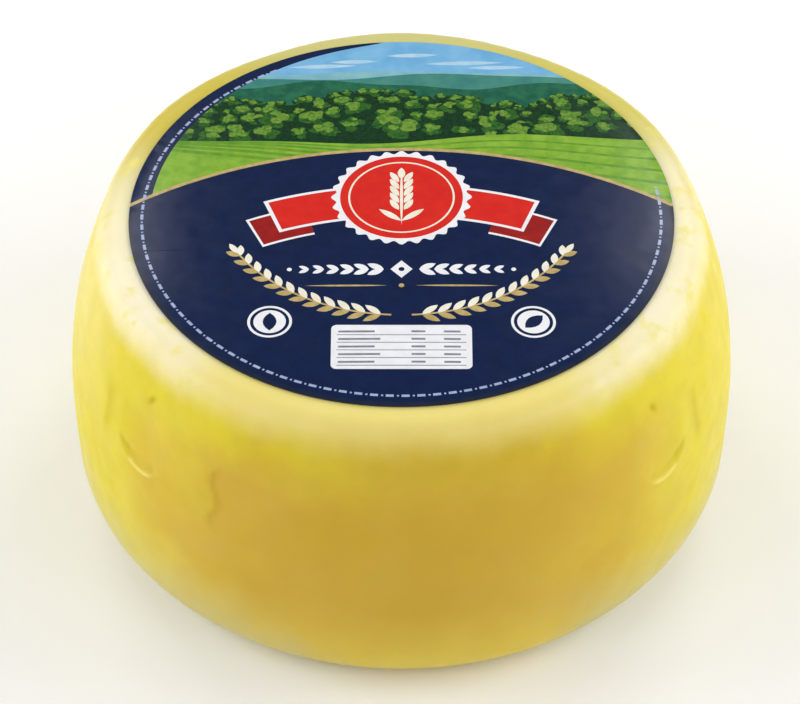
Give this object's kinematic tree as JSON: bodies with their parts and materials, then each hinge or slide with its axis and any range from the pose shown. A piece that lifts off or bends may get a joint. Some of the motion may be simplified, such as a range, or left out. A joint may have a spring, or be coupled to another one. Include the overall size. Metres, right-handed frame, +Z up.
{
  "type": "reggianito cheese wheel",
  "caption": "Drum-shaped wheel of hard grating cheese with bulging sides, a smooth yellow rind and a round printed label on top.",
  "frame": {"origin": "centre of the flat base, on the surface that the wheel stands on", "axes": "+Z up along the wheel's axis, -Y towards the front, where the label reads upright, +X to the right seen from the front"},
  "size_m": [0.2504, 0.2496, 0.1269],
  "materials": {
    "rind": "smooth waxy cheese rind with a soft sheen",
    "printed_label": "glossy coated print"
  },
  "bodies": {
    "root": {"cheese_wheel": "rind", "label": "printed_label"}
  },
  "joints": []
}
